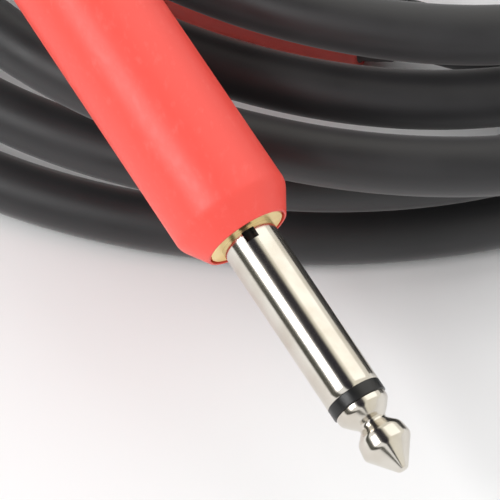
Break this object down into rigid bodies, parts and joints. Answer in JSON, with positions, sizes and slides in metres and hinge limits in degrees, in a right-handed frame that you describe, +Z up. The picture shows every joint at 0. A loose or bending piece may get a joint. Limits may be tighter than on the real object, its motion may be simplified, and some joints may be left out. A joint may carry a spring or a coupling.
{
  "type": "instrument cable",
  "caption": "Coiled instrument cable of black rubber lead with straight mono phone plugs whose red sleeves unscrew from brass collars.",
  "frame": {"origin": "on the surface that the coil lies on, under the middle of the box of the two plugs", "axes": "+Z up; +Y from the shown side of the coil to its back; +X to the viewer's right"},
  "size_m": [0.142, 0.1423, 0.0431],
  "materials": {
    "nickel_plate": "polished nickel plate",
    "collar_brass": "turned brass",
    "black_insulator": "black moulded plastic",
    "fibre_washer": "pressed fibre",
    "core_insulation": "white core insulation",
    "copper_shield": "twisted bare copper strands",
    "solder": "dull solder",
    "liner_plastic": "dark plastic tube",
    "barrel_metal": "turned metal",
    "grip_red": "satin red soft plastic",
    "bush_rubber": "black rubber",
    "cable_rubber": "matt black rubber jacket"
  },
  "bodies": {
    "root": {"upper_tip_contact": "nickel_plate", "upper_tip_insulator": "black_insulator", "upper_shaft": "nickel_plate", "upper_collar": "collar_brass", "upper_ground_lug": "nickel_plate", "upper_rear_washer": "fibre_washer", "upper_tip_tag": "nickel_plate", "upper_core_wire": "core_insulation", "upper_shield_pigtail": "copper_shield", "upper_core_solder": "solder", "upper_shield_solder": "solder", "upper_cable_end": "cable_rubber", "lower_tip_contact": "nickel_plate", "lower_tip_insulator": "black_insulator", "lower_shaft": "nickel_plate", "lower_collar": "collar_brass", "lower_ground_lug": "nickel_plate", "lower_rear_washer": "fibre_washer", "lower_tip_tag": "nickel_plate", "lower_core_wire": "core_insulation", "lower_shield_pigtail": "copper_shield", "lower_core_solder": "solder", "lower_shield_solder": "solder", "lower_cable_end": "cable_rubber", "cable_coil": "cable_rubber", "upper_lead": "cable_rubber", "lower_lead": "cable_rubber"},
    "upper_thread_travel": {"upper_liner_tube": "liner_plastic"},
    "upper_barrel_turn": {"upper_barrel": "barrel_metal", "upper_grip_sleeve": "grip_red", "upper_relief_bush": "bush_rubber"},
    "lower_thread_travel": {"lower_liner_tube": "liner_plastic"},
    "lower_barrel_turn": {"lower_barrel": "barrel_metal", "lower_grip_sleeve": "grip_red", "lower_relief_bush": "bush_rubber"}
  },
  "joints": [
    {"name": "upper_barrel_slide", "type": "slide", "parent": "root", "child": "upper_thread_travel", "axis": [-0.536, 0.8068, 0.2487], "range_m": [0, 0.00375]},
    {"name": "upper_barrel_unscrew", "type": "hinge", "parent": "upper_thread_travel", "child": "upper_barrel_turn", "pos_m": [0.01259, -0.02261, 0.0242], "axis": [-0.536, 0.8068, 0.2487], "range_deg": [0, 1801]},
    {"name": "lower_barrel_slide", "type": "slide", "parent": "root", "child": "lower_thread_travel", "axis": [0.9397, -0.342, 0], "range_m": [0, 0.00375]},
    {"name": "lower_barrel_unscrew", "type": "hinge", "parent": "lower_thread_travel", "child": "lower_barrel_turn", "pos_m": [-0.00821, 0.03549, 0.0068], "axis": [0.9397, -0.342, 0], "range_deg": [0, 1801]}
  ],
  "couplings": [
    {"joint": "upper_barrel_unscrew", "follows": "upper_barrel_slide", "rad_per_m": 8377.6},
    {"joint": "lower_barrel_unscrew", "follows": "lower_barrel_slide", "rad_per_m": 8377.6}
  ]
}
